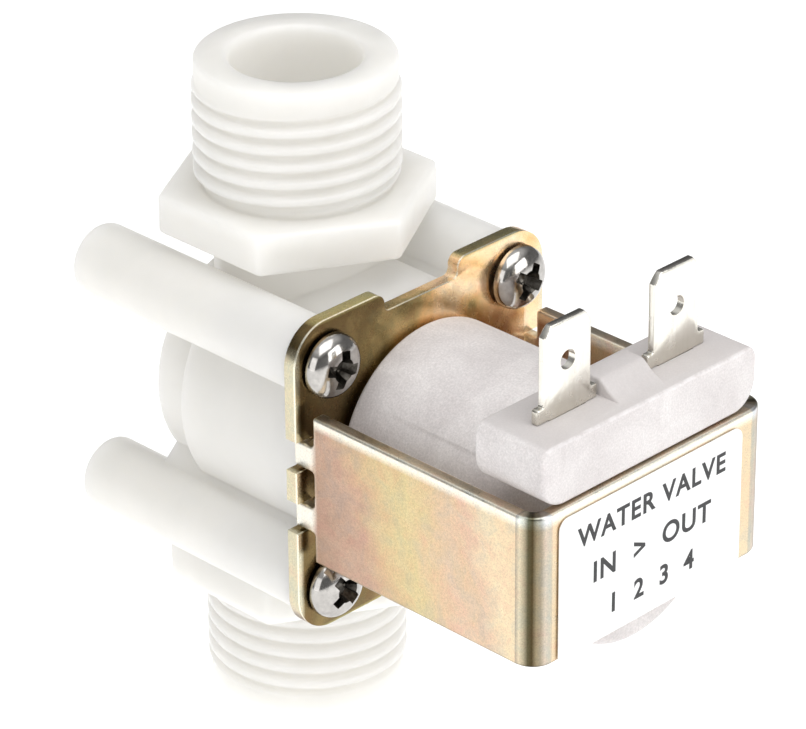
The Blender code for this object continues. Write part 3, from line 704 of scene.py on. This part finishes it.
def letter(name, text, size, x, z, bold=0.0):
    curve = bpy.data.curves.new(name, "FONT")
    curve.body = text
    curve.size = size * MM
    curve.align_x = "CENTER"
    curve.align_y = "CENTER"
    curve.extrude = 0.006 * MM
    curve.offset = bold * MM
    curve.space_character = 1.12
    obj = bpy.data.objects.new(name + "_curve", curve)
    SCENE.objects.link(obj)
    bpy.context.view_layer.update()
    graph = bpy.context.evaluated_depsgraph_get()
    mesh = bpy.data.meshes.new_from_object(obj.evaluated_get(graph))
    bpy.data.objects.remove(obj, do_unlink=True)
    made = bpy.data.objects.new(name, mesh)
    SCENE.objects.link(made)
    # text lies in XY: stand it up to face -Y
    mesh.transform(Matrix.Translation(Vector((x, -47.99, z)) * MM) @ Matrix.Rotation(math.radians(90), 4, "X"))
    return made


piece(make_label(), "label", PAPER).name = "sticker_blank"
for name, text, size, x, z in (("lettering_top", "WATER VALVE", 2.9, -0.4, 4.1),
                               ("lettering_middle", "IN  >  OUT", 3.1, -0.4, -0.4),
                               ("lettering_low", "1  2  3  4", 2.9, -0.4, -4.8)):
    piece(letter(name, text, size, x, z, 0.075), "label", INK, replace=False)


# ------------------------------------------------------------------ hidden pieces
for node, mat in (("diaphragm", RUBBER), ("diaphragm_support", NYLON), ("guide_tube", NYLON), ("armature", IRON),
                  ("armature_seal", RUBBER), ("return_spring", NICKEL), ("rear_flux_sleeve", IRON),
                  ("front_flux_sleeve", IRON), ("coil_bobbin", NYLON), ("coil_winding", COPPER), ("winding_tape", TAPE),
                  ("coil_lead_left", COPPER), ("coil_lead_right", COPPER)):
    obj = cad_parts[node]
    for slot in obj.material_slots:
        slot.material = mat
    if not obj.material_slots:
        obj.data.materials.append(mat)


def make_spring():
    """The return spring again, as a smooth round wire with closed ends."""
    radius, wire, y0, y1, turns, per_turn = 2.1, 0.45, -43.65, -33.15, 7.0, 40
    curve = bpy.data.curves.new("spring", "CURVE")
    curve.dimensions = "3D"
    curve.bevel_depth = wire / 2 * MM
    curve.bevel_resolution = 3
    curve.use_fill_caps = True
    n = int(turns * per_turn)
    spline = curve.splines.new("POLY")
    spline.points.add(n)
    for i in range(n + 1):
        t = i / n
        s = min(max((t * turns - 0.9) / (turns - 1.8), 0.0), 1.0)
        flat = 1.12 * wire
        y = y0 + flat * min(t * turns, 0.9) + (y1 - y0 - 1.8 * flat) * s + flat * max(t * turns - turns + 0.9, 0.0)
        a = 2 * math.pi * turns * t
        spline.points[i].co = (radius * math.cos(a) * MM, y * MM, radius * math.sin(a) * MM, 1)
    obj = bpy.data.objects.new("spring_curve", curve)
    SCENE.objects.link(obj)
    bpy.context.view_layer.update()
    graph = bpy.context.evaluated_depsgraph_get()
    mesh = bpy.data.meshes.new_from_object(obj.evaluated_get(graph))
    bpy.data.objects.remove(obj, do_unlink=True)
    bm = bmesh.new()
    bm.from_mesh(mesh)
    bmesh.ops.remove_doubles(bm, verts=bm.verts, dist=1e-7)
    bmesh.ops.recalc_face_normals(bm, faces=bm.faces)
    bm.to_mesh(mesh)
    bm.free()
    made = bpy.data.objects.new("spring_wire", mesh)
    SCENE.objects.link(made)
    return smooth(made, 50)


spring = piece(make_spring(), "return_spring", NICKEL)
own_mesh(spring)

# ------------------------------------------------------------------ studio
FLOOR_Z = CAD_BOX[0][2] - 0.055


def make_floor():
    bm = bmesh.new()
    bmesh.ops.create_grid(bm, x_segments=8, y_segments=8, size=2.5)
    floor = finish(bm, "studio_floor")
    floor.location.z = FLOOR_Z
    s = Shader("studio_floor_look", roughness=0.85, Emission_Color=(1.0, 1.0, 1.0, 1.0), Emission_Strength=0.34)
    s.colour(s.ramp(s.noise(120.0, 3.0), [(0.3, (0.92, 0.92, 0.92)), (0.7, (0.94, 0.94, 0.94))]))
    floor.data.materials.append(s.mat)


make_floor()


def soft_box(name, size, power, place, colour=(1, 1, 1)):
    light = bpy.data.lights.new(name, "AREA")
    light.shape = "RECTANGLE"
    light.size, light.size_y = size
    light.energy = power
    light.color = colour
    obj = bpy.data.objects.new(name, light)
    SCENE.objects.link(obj)
    obj.location = place
    aim = Vector((0, -0.015, 0)) - Vector(place)
    obj.rotation_euler = aim.to_track_quat("-Z", "Y").to_euler()
    return obj


soft_box("top_box", (0.9, 0.9), 4.6, (-0.10, -0.25, 0.85))
soft_box("left_box", (0.7, 0.6), 1.9, (-0.80, -0.05, 0.22))
soft_box("front_box", (0.6, 0.5), 3.2, (0.25, -0.85, 0.30))

world = bpy.data.worlds.new("studio")
bpy.context.scene.world = world
world.use_nodes = True
tree = world.node_tree
back = tree.nodes["Background"]
coord = tree.nodes.new("ShaderNodeTexCoord")
split = tree.nodes.new("ShaderNodeSeparateXYZ")
ramp = tree.nodes.new("ShaderNodeValToRGB")
tree.links.new(coord.outputs["Generated"], split.inputs["Vector"])
tree.links.new(split.outputs["Z"], ramp.inputs["Fac"])
ramp.color_ramp.elements[0].position = 0.50
ramp.color_ramp.elements[0].color = (0.28, 0.28, 0.28, 1)
ramp.color_ramp.elements[1].position = 0.80
ramp.color_ramp.elements[1].color = (1.0, 1.0, 1.0, 1)
tree.links.new(ramp.outputs["Color"], back.inputs["Color"])
back.inputs["Strength"].default_value = 0.7

bpy.context.scene.view_settings.view_transform = "Standard"

# ------------------------------------------------------------------ camera
AZ, EL, ROLL = math.radians(-45.048), math.radians(27.942), math.radians(-0.493)
d = Vector((math.sin(AZ) * math.cos(EL), -math.cos(AZ) * math.cos(EL), math.sin(EL)))
r = Vector((math.cos(AZ), math.sin(AZ), 0))
u = d.cross(r)
r2 = math.cos(ROLL) * r + math.sin(ROLL) * u
u2 = -math.sin(ROLL) * r + math.cos(ROLL) * u
cam = bpy.data.cameras.new("camera")
cam.sensor_width = 36.0
cam.sensor_fit = "HORIZONTAL"
cam.lens = 4313.64 * 36.0 / 806.0
cam.clip_start, cam.clip_end = 0.01, 20.0
camera = bpy.data.objects.new("camera", cam)
SCENE.objects.link(camera)
camera.matrix_world = Matrix((
    (r2.x, u2.x, d.x, -0.266511), (r2.y, u2.y, d.y, -0.280523), (r2.z, u2.z, d.z, 0.205855), (0, 0, 0, 1)))
bpy.context.scene.camera = camera
